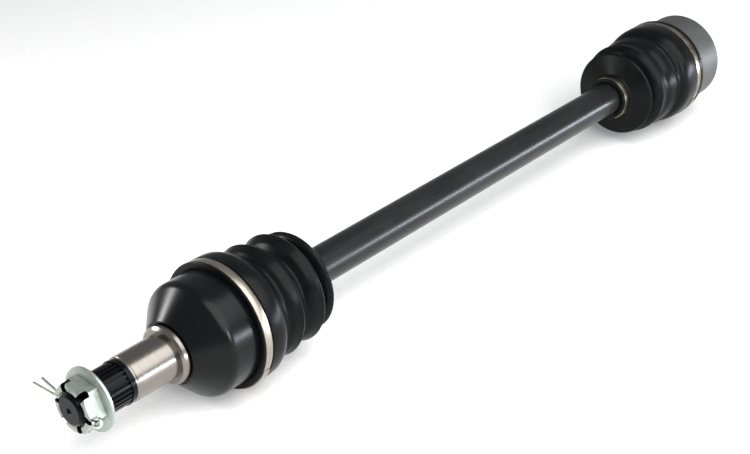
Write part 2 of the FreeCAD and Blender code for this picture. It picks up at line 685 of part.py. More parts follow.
def inner_boot():
    small_near = "( -1 * inner_small_cuff_end - small_band_margin )"
    small_far = "( -1 * inner_small_cuff_end - small_band_margin - small_band_width )"
    large = {
        "outside": cuff_outside("-1 * inner_boot_edge", "-1 * inner_band_inset - inner_band_width",
                                "-1 * inner_band_inset", "inner_boot_radius",
                                [("-1 * inner_boot_shoulder_inset - boot_wall", "inner_boot_radius"),
                                 ("-1 * inner_boot_shoulder_inset", "inner_boot_shoulder_radius")]),
        "inside": [("-1 * cup_mouth_inset + running_gap", "cup_diameter / 2"),
                   ("-1 * inner_boot_edge", "cup_diameter / 2")],
    }
    seat = "small_cuff_radius - boot_lip_height"
    small = {
        "outside": [("-1 * inner_small_cuff_inset", "small_cuff_radius"), (small_far, "small_cuff_radius"),
                    (small_far, seat), (small_near, seat), (small_near, "small_cuff_radius"),
                    ("-1 * inner_small_cuff_end", "small_cuff_radius")],
        "inside": [("-1 * inner_small_cuff_end", "bar_diameter / 2 + running_gap"),
                   ("-1 * inner_small_cuff_inset", "bar_diameter / 2 + running_gap")],
    }
    return boot("inner_boot", "inner", large, small)


def band_clamp(label, near, far, seat):
    """Steel band round a cuff, with its lapped end as a second layer over part of the way round."""
    body = new_body(label)
    top = f"{seat} + band_thickness"
    turn(body, label + "_band", [(far, seat), (near, seat), (near, top), (far, top)])
    turn(body, label + "_lap", [(far, top), (near, top), (near, f"{top} + band_lap_thickness"),
                                (far, f"{top} + band_lap_thickness")], "band_lap_span", "band_phase")
    return body


def band_clamps():
    large_seat = "{} - boot_lip_height"
    small_seat = "small_cuff_radius - boot_lip_height + running_gap"
    return [
        band_clamp("outer_large_clamp", "-1 * outer_band_inset", "-1 * outer_band_inset - outer_band_width",
                   large_seat.format("outer_boot_radius")),
        band_clamp("outer_small_clamp",
                   "-1 * outer_small_cuff_end + small_band_margin + small_band_width",
                   "-1 * outer_small_cuff_end + small_band_margin", small_seat),
        band_clamp("inner_small_clamp", "-1 * inner_small_cuff_end - small_band_margin",
                   "-1 * inner_small_cuff_end - small_band_margin - small_band_width", small_seat),
        band_clamp("inner_large_clamp", "-1 * inner_band_inset", "-1 * inner_band_inset - inner_band_width",
                   large_seat.format("inner_boot_radius")),
    ]


# ------------------------------------------------------------------ hub nut and cotter pin
def castle_nut():
    """Flanged hexagon nut with six slots in its outboard end."""
    body = new_body("castle_nut")
    flange_top = "( nut_seat + nut_flange_thickness )"
    dish_top = "( nut_seat + nut_flange_thickness + nut_flange_dish )"
    turn(body, "castle_nut_blank", [
        ("nut_seat", "thread_diameter / 2"),
        ("nut_front", "thread_diameter / 2"),
        ("nut_front", "nut_corner_radius - nut_corner_chamfer"),
        ("nut_front - nut_corner_chamfer", "nut_corner_radius"),
        (dish_top, "nut_corner_radius"),
        (flange_top, "nut_flange_diameter / 2"),
        ("nut_seat", "nut_flange_diameter / 2"),
    ])
    cut_along(body, "nut_flat", "nut_front", f"nut_front - {dish_top}",
              ("bar", "nut_across_flats / 2", "nut_corner_radius + 1", "nut_across_flats"), "6")
    cut_along(body, "nut_slot", "nut_front", "nut_slot_depth",
              ("bar", "0", "nut_corner_radius + 1", "nut_slot_width"), "6")
    place_on_axle(body, "0")
    return body


def place_on_axle(piece, along):
    """Set a piece at a place on the axle, turned with the nut's slots."""
    piece.Placement = FreeCAD.Placement(
        FreeCAD.Vector(number(along), 0, 0), FreeCAD.Rotation(FreeCAD.Vector(1, 0, 0), number("nut_phase")))
    piece.setExpression("Placement.Rotation.Angle", bound("nut_phase"))
    piece.setExpression("Placement.Base.x", bound(along))


def pin_leg(name, side):
    """One leg of the cotter pin, from the shank's end towards -Y; side 1 and -1 lean apart."""
    foot = f"{side} * ( pin_diameter / 2 - pin_wire_radius ) * 0.9"
    leg = doc.addObject("Part::Cylinder", name)
    leg.setExpression("Radius", bound("pin_wire_radius"))
    leg.setExpression("Height", bound("pin_leg_length"))
    roll = FreeCAD.Rotation(FreeCAD.Vector(0, 1, 0), number("pin_roll"))
    lean = FreeCAD.Rotation(FreeCAD.Vector(0, 0, 1), number(f"{side} * pin_leg_splay"))
    lie_down = FreeCAD.Rotation(FreeCAD.Vector(1, 0, 0), 90)
    leg.Placement = FreeCAD.Placement(FreeCAD.Vector(), roll * lean * lie_down)
    leg.setExpression("Placement.Base.x", bound(f"{foot} * cos(pin_roll)"))
    leg.setExpression("Placement.Base.y", bound("pin_wire_radius - pin_half_shank"))
    leg.setExpression("Placement.Base.z", bound(f"-1 * {foot} * sin(pin_roll)"))
    return leg


def cotter_pin():
    """Split pin: a shank with an eye at one end and two splayed legs at the other."""
    shank = doc.addObject("Part::Cylinder", "pin_shank")
    shank.setExpression("Radius", bound("pin_diameter / 2"))
    shank.setExpression("Height", bound("2 * pin_half_shank"))
    shank.Placement = FreeCAD.Placement(FreeCAD.Vector(), FreeCAD.Rotation(FreeCAD.Vector(1, 0, 0), 90))
    shank.setExpression("Placement.Base.y", bound("pin_half_shank"))
    eye = doc.addObject("Part::Torus", "pin_eye")
    eye.setExpression("Radius1", bound("pin_eye_radius"))
    eye.setExpression("Radius2", bound("pin_wire_radius"))
    eye.Placement = FreeCAD.Placement(
        FreeCAD.Vector(), FreeCAD.Rotation(FreeCAD.Vector(0, 1, 0), number("pin_roll")))
    eye.setExpression("Placement.Rotation.Angle", bound("pin_roll"))
    eye.setExpression("Placement.Base.y", bound("pin_half_shank + pin_eye_radius"))
    pin = doc.addObject("Part::MultiFuse", "cotter_pin")
    pin.Label = "cotter_pin"
    pin.Shapes = [shank, pin_leg("pin_leg_outboard", 1), pin_leg("pin_leg_inboard", -1), eye]
    doc.recompute()
    place_on_axle(pin, "pin_place")
    doc.recompute()
    return pin


# ------------------------------------------------------------------ build and export
def build():
    pieces = [outer_housing(), inner_race("outer_race_star", "outer", OUTER_CENTER),
              ball_cage("outer_cage", "outer", OUTER_CENTER)]
    pieces += balls("outer", OUTER_CENTER)
    pieces += [race_circlip("outer_circlip", "outer", OUTER_CENTER, "1"), center_shaft(), outer_boot(),
               castle_nut(), cotter_pin(), inner_housing(),
               inner_race("inner_race_star", "inner", INNER_CENTER),
               ball_cage("inner_cage", "inner", INNER_CENTER)]
    pieces += balls("inner", INNER_CENTER)
    pieces += [race_circlip("inner_circlip", "inner", INNER_CENTER, "-1"), stop_ring(), gear_snap_ring(),
               inner_boot()]
    pieces += band_clamps()
    doc.recompute()
    return pieces


def check(pieces):
    """Stop if anything in the document failed or any piece is not a sound solid."""
    for item in doc.Objects:
        if "Invalid" in item.State or "Error" in item.State:
            raise RuntimeError(f"{item.Label} failed: {item.State}")
    for piece in pieces:
        if piece.Shape.isNull() or not piece.Shape.isValid() or not piece.Shape.Solids:
            raise RuntimeError(piece.Label + " is not a sound solid")


def export(pieces):
    os.makedirs("parts", exist_ok=True)
    for piece in pieces:
        piece.Shape.exportStep(f"parts/{piece.Label}.step")
        box = piece.Shape.optimalBoundingBox()
        print(f"{piece.Label:20s} {piece.Shape.Volume:10.1f} mm3  x {box.XMin:8.2f} to {box.XMax:8.2f}"
              f"  solids {len(piece.Shape.Solids)}")


ready = build()
check(ready)
export(ready)
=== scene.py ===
"""CV axle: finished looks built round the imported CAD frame.

Helpers and named measures are in millimetres in the axle's own frame, where +X runs outboard to the hub nut.
Settings, meshes, blends, lights and the camera are in metres.
"""
import math

import bmesh
import bpy
from bpy.props import FloatProperty, FloatVectorProperty, IntProperty, PointerProperty
from mathutils import Matrix, Vector


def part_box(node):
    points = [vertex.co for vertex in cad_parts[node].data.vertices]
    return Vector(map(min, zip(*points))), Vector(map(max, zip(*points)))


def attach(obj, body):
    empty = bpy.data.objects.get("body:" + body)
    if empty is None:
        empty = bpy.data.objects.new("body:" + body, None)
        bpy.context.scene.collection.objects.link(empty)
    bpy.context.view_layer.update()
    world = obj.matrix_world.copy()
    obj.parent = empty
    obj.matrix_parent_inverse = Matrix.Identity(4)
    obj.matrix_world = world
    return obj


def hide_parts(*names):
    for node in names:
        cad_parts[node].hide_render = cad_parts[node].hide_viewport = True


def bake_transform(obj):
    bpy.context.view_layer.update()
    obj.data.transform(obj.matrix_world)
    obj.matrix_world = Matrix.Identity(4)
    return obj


bl_info = {
    "name": "CV Axle Looks",
    "version": (1, 0, 0),
    "blender": (4, 5, 0),
    "location": "3D View > Sidebar > CV Axle",
    "description": "Boots, bands, nut, pin and finishes of a CV drive axle",
    "category": "Object",
}

MM = 0.001
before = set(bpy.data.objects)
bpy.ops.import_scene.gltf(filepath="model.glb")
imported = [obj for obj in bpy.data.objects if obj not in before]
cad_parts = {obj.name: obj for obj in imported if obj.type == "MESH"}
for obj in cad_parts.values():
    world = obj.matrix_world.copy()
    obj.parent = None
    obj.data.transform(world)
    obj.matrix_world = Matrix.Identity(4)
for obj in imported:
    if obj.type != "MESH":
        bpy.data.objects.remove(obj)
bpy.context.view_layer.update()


def span(node):
    """A CAD node's lowest and highest corners in millimetres."""
    low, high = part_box(node)
    return low / MM, high / MM


BELL_MOUTH = span("outer_housing")[0].x
STUB_TIP = span("outer_housing")[1].x
CUP_MOUTH = span("inner_housing")[1].x
CUP_TIP = span("inner_housing")[0].x
OUTER_BOOT_LOW, OUTER_BOOT_HIGH = span("outer_boot")
INNER_BOOT_LOW, INNER_BOOT_HIGH = span("inner_boot")
OUTER_CUFF_RADIUS = OUTER_BOOT_HIGH.z
INNER_CUFF_RADIUS = INNER_BOOT_HIGH.z
BELL_RADIUS = span("outer_housing")[1].z
CUP_RADIUS = span("inner_housing")[1].z
BAR_RADIUS = span("center_shaft")[1].z
NUT_LOW, NUT_HIGH = span("castle_nut")
PIN_LOW, PIN_HIGH = span("cotter_pin")
PIN_PLACE = (PIN_LOW.x + PIN_HIGH.x) / 2
NUT_TURN = math.radians(-7)
PIN_ROLL = math.radians(45)
SLOT_DEPTH = 5.0
SLOT_WIDTH = 4.4
# along the hub forging: the bell's shoulder, then where the coat, the groove and the journal end
BELL_SHOULDER = -30.0
COAT_END, GROOVE_END, JOURNAL_END = -5.15, -4.0, 32.6
THREAD_START, THREAD_TURNS = 58.0, 8.2
THREAD_CREST, THREAD_ROOT = 10.32, 9.7
CUP_STUB_LENGTH = 31.0
# room between a boot and the housing it sits on, the bar it grips and the housing's mouth
HOUSING_GAP, BAR_GAP, MOUTH_GAP = 0.04, 0.3, 0.3
# boot folds as (run from the housing's mouth, depth below the cuff), valley and crest in turn; the inner
# boot's middle valley is shallower than the frame's, so that the bar clears it at full lean
OUTER_FOLDS = ((16.5, 10.1), (25.5, 4.8), (36.0, 13.6), (46.0, 6.0), (53.0, 15.1), (58.5, 9.4))
INNER_FOLDS = ((5.0, 5.9), (12.0, 3.4), (24.5, 7.0), (34.0, 4.5), (41.5, 13.6), (48.0, 7.3))
# creases are kept where faces meet at more than this many degrees
CREASE = 35.0
# a band's thickness, then its lap: inset from the edges, depth sunk in the strip, degrees and faces round
STRIP = 0.9
LAP_INSET, LAP_SUNK = 0.2, 0.1
LAP_SWEEP, LAP_PHASE, LAP_STEPS = 38, -62, 24
# in metres: each light's name, place, aim, size, setting for its power and colour
LIGHTS = (
    ("overhead_softbox", (-0.1, 0.85, 1.2), (-0.2, 0, 0), (2.2, 1.6), "key_power", "FFFFFF"),
    ("front_panel", (0.0, 1.16, 0.34), (-0.03, 0, 0.02), (0.22, 0.3), "panel_power", "FFFFFF"),
    ("side_strip", (0.17, -0.48, 0.18), (-0.03, 0, 0.02), (0.07, 0.16), "side_power", "FFFFFF"),
    ("low_strip", (-1.25, 1.1, 0.03), (-0.25, 0, 0), (1.15, 0.13), "strip_power", "EDF2FF"))
FLOOR_CENTRE, FLOOR_GAP = -0.3, 0.0006
CAMERA_PLACE = (0.46836, 0.56237, 0.48484)
CAMERA_RIGHT = Vector((-0.637809, 0.770195, 0.0))
CAMERA_UP = Vector((-0.375311, -0.310800, 0.873238))
CAMERA_SHIFT = (-0.01428, 0.01212)


# ---------------------------------------------------------------- colours and node helper
def linear(code):
    """An sRGB hex colour as linear red, green, blue and alpha."""
    parts = [int(code[i:i + 2], 16) / 255 for i in (0, 2, 4)]
    return tuple(c / 12.92 if c <= 0.04045 else ((c + 0.055) / 1.055) ** 2.4 for c in parts) + (1.0,)


def put(material, kind, links=None, stops=None, **settings):
    """Add a node: links gives each input a value or another node's output, stops fills a ramp."""
    tree = material.node_tree
    node = tree.nodes.new(kind)
    for name, value in settings.items():
        setattr(node, name, value)
    for name, value in (links or {}).items():
        if isinstance(value, bpy.types.NodeSocket):
            tree.links.new(value, node.inputs[name])
        else:
            node.inputs[name].default_value = value
    if stops:
        ramp = node.color_ramp.elements
        while len(ramp) < len(stops):
            ramp.new(1.0)
        for element, (place, color) in zip(ramp, stops):
            element.position = place
            element.color = color
    return node


def new_material(name):
    material = bpy.data.materials.new(name)
    material.use_nodes = True
    material.node_tree.nodes.clear()
    return material


def millimetres(material, stretch=(1, 1, 1)):
    """Object coordinates in millimetres, stretched along the axes."""
    place = put(material, "ShaderNodeTexCoord")
    return put(material, "ShaderNodeMapping", {
        "Vector": place.outputs["Object"], "Scale": tuple(s / MM for s in stretch)}).outputs["Vector"]


def close_surface(material, **sockets):
    """Principled surface and output from the given sockets, then hand the material back."""
    surface = put(material, "ShaderNodeBsdfPrincipled",
                  {name.replace("_", " "): value for name, value in sockets.items()})
    put(material, "ShaderNodeOutputMaterial", {"Surface": surface.outputs["BSDF"]})
    return material


def grey(value):
    return (value, value, value, 1.0)


def opaque(color):
    """Red, green and blue with full alpha."""
    return (*color, 1.0)


# ---------------------------------------------------------------- mesh helpers
def lathe(outline, steps=144, sweep=360.0, phase=0.0):
    """A bmesh turned about the X axis from a closed outline of (x, radius, rounding) corners."""
    mesh = bmesh.new()
    corners = [(mesh.verts.new((x * MM, r * MM, 0)), rounding) for x, r, rounding in outline]
    for (here, _), (there, _) in zip(corners, corners[1:] + corners[:1]):
        mesh.edges.new((here, there))
    for rounding in sorted({c[1] for c in corners if c[1] > 0}):
        bmesh.ops.bevel(mesh, geom=[v for v, r in corners if r == rounding], offset=rounding * MM,
                        offset_type="OFFSET", segments=max(2, min(8, int(2 + rounding * 1.6))), profile=0.5,
                        affect="VERTICES", material=-1)
    if phase:
        bmesh.ops.rotate(mesh, verts=mesh.verts[:], cent=(0, 0, 0),
                         matrix=Matrix.Rotation(math.radians(phase), 3, "X"))
    full = sweep >= 360
    bmesh.ops.spin(mesh, geom=mesh.verts[:] + mesh.edges[:], cent=(0, 0, 0), axis=(1, 0, 0), dvec=(0, 0, 0),
                   angle=math.radians(sweep), steps=steps, use_merge=full, use_duplicate=False)
    if not full:
        bmesh.ops.holes_fill(mesh, edges=[e for e in mesh.edges if e.is_boundary], sides=0)
    bmesh.ops.remove_doubles(mesh, verts=mesh.verts[:], dist=1e-6)
    bmesh.ops.recalc_face_normals(mesh, faces=mesh.faces[:])
    return mesh


def shade(mesh, sharp):
    """Smooth shading, with creases kept where faces meet at more than so many degrees."""
    limit = math.radians(sharp)
    for face in mesh.faces:
        face.smooth = True
    for edge in mesh.edges:
        edge.smooth = not (edge.is_manifold and edge.calc_face_angle() > limit)


def to_piece(name, mesh, material, sharp=CREASE):
    """Put a bmesh in the scene as a smooth-shaded piece."""
    shade(mesh, sharp)
    data = bpy.data.meshes.new(name)
    mesh.to_mesh(data)
    mesh.free()
    data.materials.append(material)
    piece = bpy.data.objects.new(name, data)
    bpy.context.scene.collection.objects.link(piece)
    return piece


def boolean(piece, cutters, operation):
    """Apply cutters to a piece, one after the other, and remove them."""
    for cutter in cutters:
        step = piece.modifiers.new("cut", "BOOLEAN")
        step.object = cutter
        step.operation = operation
        step.solver = "EXACT"
        bake_modifiers(piece)
        bpy.data.meshes.remove(cutter.data)


def bake_modifiers(piece):
    """Replace a piece's mesh with the result of its modifiers."""
    ready = piece.evaluated_get(bpy.context.evaluated_depsgraph_get())
    data = bpy.data.meshes.new_from_object(ready)
    piece.modifiers.clear()
    old, piece.data = piece.data, data
    bpy.data.meshes.remove(old)


def soften(piece, width, segments, angle):
    """Round a piece's edges that are sharper than an angle in degrees by a width in millimetres."""
    bevel = piece.modifiers.new("edge", "BEVEL")
    bevel.width = width * MM
    bevel.segments = segments
    bevel.limit_method = "ANGLE"
    bevel.angle_limit = math.radians(angle)
    bevel.harden_normals = False
    bake_modifiers(piece)
    mesh = bmesh.new()
    mesh.from_mesh(piece.data)
    shade(mesh, CREASE)
    mesh.to_mesh(piece.data)
    mesh.free()


def wear(node, material):
    """Give a CAD node one finish."""
    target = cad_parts[node]
    if target.material_slots:
        for slot in target.material_slots:
            slot.link = "OBJECT"
            slot.material = material
    else:
        target.data.materials.append(material)


# ---------------------------------------------------------------- finishes
def hub_forging(colors):
    """Forged steel hub in one mesh: epoxy-coated bell, ground bearing journal, black-oxide spline and thread.

    The coat is a thin satin film with slight orange peel and a few rubbed specks at the shoulder.  The
    journal is ground, so it is bright with very fine rings.  The oxide is dark and a little oily, and the
    tip's face is bare and turned.
    """
    material = new_material("hub_forging_epoxy_ground_and_black_oxide")
    place = millimetres(material)
    split = put(material, "ShaderNodeSeparateXYZ", {"Vector": place})
    along = split.outputs["X"]
    low, high = BELL_MOUTH - 2, STUB_TIP + 2
    share = put(material, "ShaderNodeMapRange", {"Value": along, "From Min": low, "From Max": high})
    # coat, groove, ground shoulder and journal, oxide, turned end
    starts = [(x - low) / (high - low) for x in (low, COAT_END, GROOVE_END, JOURNAL_END, STUB_TIP - 0.05)]
    coat, ground, oxide = (opaque(c) for c in (colors.bell_coat, colors.ground_steel, colors.black_oxide))
    color_zones, metal_zones, rough_zones = (
        put(material, "ShaderNodeValToRGB", {"Fac": share.outputs["Result"]}, stops=list(zip(starts, values)))
        for values in (
            (coat, linear("1C1C1B"), ground, oxide, linear("77797B")),
            (grey(0.0), grey(0.5), grey(1.0), grey(0.5), grey(0.3)),
            (grey(0.25), grey(0.5), grey(0.26), grey(0.22), grey(0.45))))
    for ramp in (color_zones, metal_zones, rough_zones):
        ramp.color_ramp.interpolation = "CONSTANT"
    # rubbed specks, a millimetre or less across, only where the shoulder of the bell touches a bench
    speck = put(material, "ShaderNodeTexNoise", {
        "Vector": place, "Scale": 1.5, "Detail": 2.0, "Roughness": 0.6})
    rub = put(material, "ShaderNodeMapRange", {
        "Value": speck.outputs["Fac"], "From Min": 0.64, "From Max": 0.70, "To Min": 0.0, "To Max": 0.22})
    patch = put(material, "ShaderNodeTexNoise", {"Vector": place, "Scale": 0.05, "Detail": 1.0})
    patch_share = put(material, "ShaderNodeMapRange", {
        "Value": patch.outputs["Fac"], "From Min": 0.5, "From Max": 0.6, "To Min": 0.0, "To Max": 1.0})
    from_shoulder = put(material, "ShaderNodeMath", {0: along, 1: -BELL_SHOULDER}, operation="ADD")
    distance = put(material, "ShaderNodeMath", {0: from_shoulder.outputs[0]}, operation="ABSOLUTE")
    band = put(material, "ShaderNodeMapRange", {
        "Value": distance.outputs[0], "From Min": 3.0, "From Max": 8.0, "To Min": 1.0, "To Max": 0.0})
    rub_here = put(material, "ShaderNodeMath", {0: rub.outputs["Result"], 1: band.outputs["Result"]},
                   operation="MULTIPLY")
    scuff = put(material, "ShaderNodeMath", {0: rub_here.outputs[0], 1: patch_share.outputs["Result"]},
                operation="MULTIPLY")
    rubbed = put(material, "ShaderNodeMix", {"Factor": scuff.outputs[0], "A": color_zones.outputs["Color"],
                                             "B": linear("8B8D90")}, data_type="RGBA")
    # the end face is bare only inside the thread's chamfer
    flat = put(material, "ShaderNodeCombineXYZ", {"Y": split.outputs["Y"], "Z": split.outputs["Z"]})
    radius = put(material, "ShaderNodeVectorMath", {0: flat.outputs["Vector"]}, operation="LENGTH")
    chamfer = put(material, "ShaderNodeMapRange", {
        "Value": radius.outputs["Value"], "From Min": 7.9, "From Max": 8.1, "To Min": 0.0, "To Max": 1.0})
    end = put(material, "ShaderNodeMath", {0: along, 1: STUB_TIP - 3.0}, operation="GREATER_THAN")
    dark_ring = put(material, "ShaderNodeMath", {0: chamfer.outputs["Result"], 1: end.outputs[0]},
                    operation="MULTIPLY")
    color = put(material, "ShaderNodeMix", {"Factor": dark_ring.outputs[0], "A": rubbed.outputs["Result"],
                                            "B": oxide}, data_type="RGBA")
    # ground rings run round the journal; the coat alone has cloudy gloss and peel
    rings = put(material, "ShaderNodeTexNoise", {
        "Vector": millimetres(material, (0.7, 0.02, 0.02)), "Scale": 1.0, "Detail": 2.0})
    cloud = put(material, "ShaderNodeTexNoise", {"Vector": place, "Scale": 0.045, "Detail": 3.0})
    shift = put(material, "ShaderNodeMix", {"Factor": metal_zones.outputs["Color"], "A": cloud.outputs["Fac"],
                                            "B": rings.outputs["Fac"]}, data_type="FLOAT")
    rough_shift = put(material, "ShaderNodeMapRange", {
        "Value": shift.outputs["Result"], "From Min": 0.3, "From Max": 0.7,
        "To Min": -0.015, "To Max": 0.015})
    rough = put(material, "ShaderNodeMath", {
        0: rough_zones.outputs["Color"], 1: rough_shift.outputs["Result"]}, operation="ADD", use_clamp=True)
    peel = put(material, "ShaderNodeTexNoise", {"Vector": place, "Scale": 0.5, "Detail": 2.0})
    height = put(material, "ShaderNodeMix", {"Factor": metal_zones.outputs["Color"], "A": peel.outputs["Fac"],
                                             "B": 0.5}, data_type="FLOAT")
    bump = put(material, "ShaderNodeBump", {"Height": height.outputs["Result"], "Strength": 0.06,
                                            "Distance": 0.04 * MM})
    return close_surface(material, Base_Color=color.outputs["Result"],
                         Metallic=metal_zones.outputs["Color"], Roughness=rough.outputs[0],
                         Normal=bump.outputs["Normal"], Specular_IOR_Level=0.17)


def coated_bar(colors):
    """Black powder coat on a drawn steel bar: satin, with faint lengthwise handling marks and fine peel."""
    material = new_material("bar_black_powder_coat")
    place = millimetres(material)
    cloud = put(material, "ShaderNodeTexNoise", {"Vector": millimetres(material, (0.012, 0.06, 0.06)),
                                                 "Scale": 1.0, "Detail": 5.0, "Roughness": 0.65})
    tint = put(material, "ShaderNodeValToRGB", {"Fac": cloud.outputs["Fac"]},
               stops=[(0.3, opaque(colors.bar_coat)), (0.75, linear("232323"))])
    marks = put(material, "ShaderNodeTexNoise", {"Vector": millimetres(material, (0.03, 0.9, 0.9)),
                                                 "Scale": 1.0, "Detail": 2.0})
    line = put(material, "ShaderNodeMapRange", {"Value": marks.outputs["Fac"], "From Min": 0.68,
                                                "From Max": 0.74, "To Min": 0.0, "To Max": 0.04})
    color = put(material, "ShaderNodeMix", {"Factor": line.outputs["Result"], "A": tint.outputs["Color"],
                                            "B": linear("77777A")}, data_type="RGBA")
    rough = put(material, "ShaderNodeMapRange", {"Value": cloud.outputs["Fac"], "From Min": 0.3,
                                                 "From Max": 0.7, "To Min": 0.25, "To Max": 0.33})
    peel = put(material, "ShaderNodeTexNoise", {"Vector": place, "Scale": 0.8, "Detail": 2.0})
    bump = put(material, "ShaderNodeBump", {"Height": peel.outputs["Fac"], "Strength": 0.02,
                                            "Distance": 0.05 * MM})
    return close_surface(material, Base_Color=color.outputs["Result"], Roughness=rough.outputs["Result"],
                         Normal=bump.outputs["Normal"], Specular_IOR_Level=0.2)


def boot_rubber(colors):
    """Moulded chloroprene rubber: near black, matt with a low sheen, dusted grey in places."""
    material = new_material("moulded_chloroprene_rubber")
    place = millimetres(material)
    dust = put(material, "ShaderNodeTexNoise", {"Vector": place, "Scale": 0.06, "Detail": 6.0,
                                                "Roughness": 0.65})
    tint = put(material, "ShaderNodeValToRGB", {"Fac": dust.outputs["Fac"]},
               stops=[(0.35, opaque(colors.boot_rubber)), (0.8, linear("151616"))])
    grain = put(material, "ShaderNodeTexNoise", {"Vector": place, "Scale": 1.6, "Detail": 4.0})
    rough = put(material, "ShaderNodeMapRange", {"Value": dust.outputs["Fac"], "From Min": 0.3,
                                                 "From Max": 0.7, "To Min": 0.26, "To Max": 0.34})
    bump = put(material, "ShaderNodeBump", {"Height": grain.outputs["Fac"], "Strength": 0.08,
                                            "Distance": 0.05 * MM})
    return close_surface(material, Base_Color=tint.outputs["Color"], Roughness=rough.outputs["Result"],
                         Normal=bump.outputs["Normal"], Specular_IOR_Level=0.1)


def band_steel(name, bright, stained):
    """Rolled stainless strip: warm silver, stained in places, with brush lines that run round the band."""
    material = new_material(name)
    lines = put(material, "ShaderNodeTexNoise", {"Vector": millimetres(material, (6.0, 0.05, 0.05)),
                                                 "Scale": 1.0, "Detail": 3.0})
    stain = put(material, "ShaderNodeTexNoise", {"Vector": millimetres(material), "Scale": 0.12,
                                                 "Detail": 4.0})
    tint = put(material, "ShaderNodeValToRGB", {"Fac": stain.outputs["Fac"]},
               stops=[(0.3, stained), (0.7, bright)])
    rough = put(material, "ShaderNodeMapRange", {"Value": lines.outputs["Fac"], "From Min": 0.3,
                                                 "From Max": 0.7, "To Min": 0.24, "To Max": 0.42})
    bump = put(material, "ShaderNodeBump", {"Height": lines.outputs["Fac"], "Strength": 0.15,
                                            "Distance": 0.04 * MM})
    return close_surface(material, Base_Color=tint.outputs["Color"], Metallic=1.0,
                         Roughness=rough.outputs["Result"], Normal=bump.outputs["Normal"])


def zinc_plate_and_painted_slot_shade(colors):
    """Clear passivated zinc on a forged nut: pale, faintly green, frosty with small spangles, with painted
    shade in the slots.
    """
    material = new_material("clear_zinc_plate")
    place = millimetres(material)
    frost = put(material, "ShaderNodeTexVoronoi", {"Vector": place, "Scale": 1.1}, feature="F1")
    cloud = put(material, "ShaderNodeTexNoise", {"Vector": place, "Scale": 0.25, "Detail": 5.0,
                                                 "Roughness": 0.6})
    blend = put(material, "ShaderNodeMath", {0: cloud.outputs["Fac"], 1: frost.outputs["Distance"]},
                operation="ADD")
    tint = put(material, "ShaderNodeValToRGB", {"Fac": blend.outputs[0]},
               stops=[(0.35, linear("7A827C")), (0.95, opaque(colors.zinc))])
    # painted shade in the sawn slots: near black where it is near the front and close to the nearest of the
    # three slots' mid planes
    skim = 0.06
    split = put(material, "ShaderNodeSeparateXYZ", {"Vector": place})
    angle = put(material, "ShaderNodeMath", {0: split.outputs["Z"], 1: split.outputs["Y"]},
                operation="ARCTAN2")
    turned = put(material, "ShaderNodeMath", {0: angle.outputs[0], 1: math.tau + math.pi / 6 - NUT_TURN},
                 operation="ADD")
    sixth = put(material, "ShaderNodeMath", {0: turned.outputs[0], 1: math.pi / 3}, operation="MODULO")
    off = put(material, "ShaderNodeMath", {0: sixth.outputs[0], 1: math.pi / 6}, operation="SUBTRACT")
    sine = put(material, "ShaderNodeMath", {0: off.outputs[0]}, operation="SINE")
    flat = put(material, "ShaderNodeCombineXYZ", {"Y": split.outputs["Y"], "Z": split.outputs["Z"]})
    radius = put(material, "ShaderNodeVectorMath", {0: flat.outputs["Vector"]}, operation="LENGTH")
    reach = put(material, "ShaderNodeMath", {0: sine.outputs[0], 1: radius.outputs["Value"]},
                operation="MULTIPLY")
    gap = put(material, "ShaderNodeMath", {0: reach.outputs[0]}, operation="ABSOLUTE")
    beside = put(material, "ShaderNodeMath", {0: gap.outputs[0], 1: SLOT_WIDTH / 2 + skim},
                 operation="LESS_THAN")
    near = put(material, "ShaderNodeMath", {0: split.outputs["X"], 1: NUT_HIGH.x - SLOT_DEPTH - skim},
               operation="GREATER_THAN")
    slot = put(material, "ShaderNodeMath", {0: beside.outputs[0], 1: near.outputs[0]}, operation="MULTIPLY")
    # slot masks the painted slot shade, which is mixed in near black over the zinc
    color = put(material, "ShaderNodeMix", {"Factor": slot.outputs[0], "A": tint.outputs["Color"],
                                            "B": linear("0E0E10")}, data_type="RGBA")
    rough = put(material, "ShaderNodeMapRange", {"Value": blend.outputs[0], "From Min": 0.4,
                                                 "From Max": 1.1, "To Min": 0.30, "To Max": 0.48})
    bump = put(material, "ShaderNodeBump", {"Height": blend.outputs[0], "Strength": 0.15,
                                            "Distance": 0.05 * MM})
    return close_surface(material, Base_Color=color.outputs["Result"], Metallic=0.85,
                         Roughness=rough.outputs["Result"], Normal=bump.outputs["Normal"])


def zinc_wire():
    """Drawn and zinc-plated wire: bright, with lengthwise die lines."""
    material = new_material("bright_zinc_wire")
    lines = put(material, "ShaderNodeTexNoise", {"Vector": millimetres(material, (3.0, 0.2, 3.0)),
                                                 "Scale": 1.0, "Detail": 2.0})
    tint = put(material, "ShaderNodeValToRGB", {"Fac": lines.outputs["Fac"]},
               stops=[(0.3, linear("B4B5B0")), (0.7, linear("E4E4DE"))])
    rough = put(material, "ShaderNodeMapRange", {"Value": lines.outputs["Fac"], "From Min": 0.3,
                                                 "From Max": 0.7, "To Min": 0.18, "To Max": 0.32})
    return close_surface(material, Base_Color=tint.outputs["Color"], Metallic=1.0,
                         Roughness=rough.outputs["Result"])


